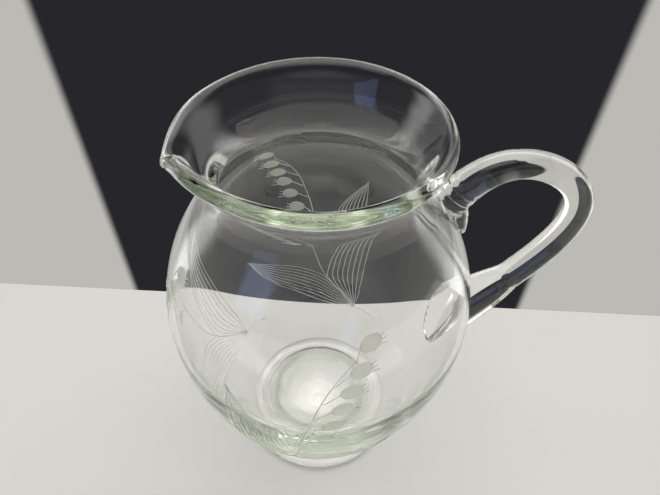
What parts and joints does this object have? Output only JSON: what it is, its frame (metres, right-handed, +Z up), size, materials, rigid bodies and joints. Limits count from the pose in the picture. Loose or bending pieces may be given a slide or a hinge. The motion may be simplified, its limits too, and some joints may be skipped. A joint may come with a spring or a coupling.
{
  "type": "glass pitcher",
  "caption": "Clear glass pitcher with an egg-shaped blown bowl, a flared lip pulled into a pouring spout, a disc foot and an applied rod handle.",
  "frame": {"origin": "centre of the foot's flat underside, on the bowl's axis", "axes": "+Z up along the bowl's axis, -X towards the pouring spout, +X towards the handle"},
  "size_m": [0.2048, 0.152, 0.217],
  "materials": {
    "bowl_glass": "clear blown glass with a faint green tint, fire-polished lip, matte engraved flower sprays",
    "foot_glass": "clear glass with a faint green tint, fire-polished edge",
    "handle_glass": "clear solid glass rod, fire-polished"
  },
  "bodies": {
    "root": {"bowl": "bowl_glass", "foot": "foot_glass", "handle": "handle_glass"}
  },
  "joints": []
}
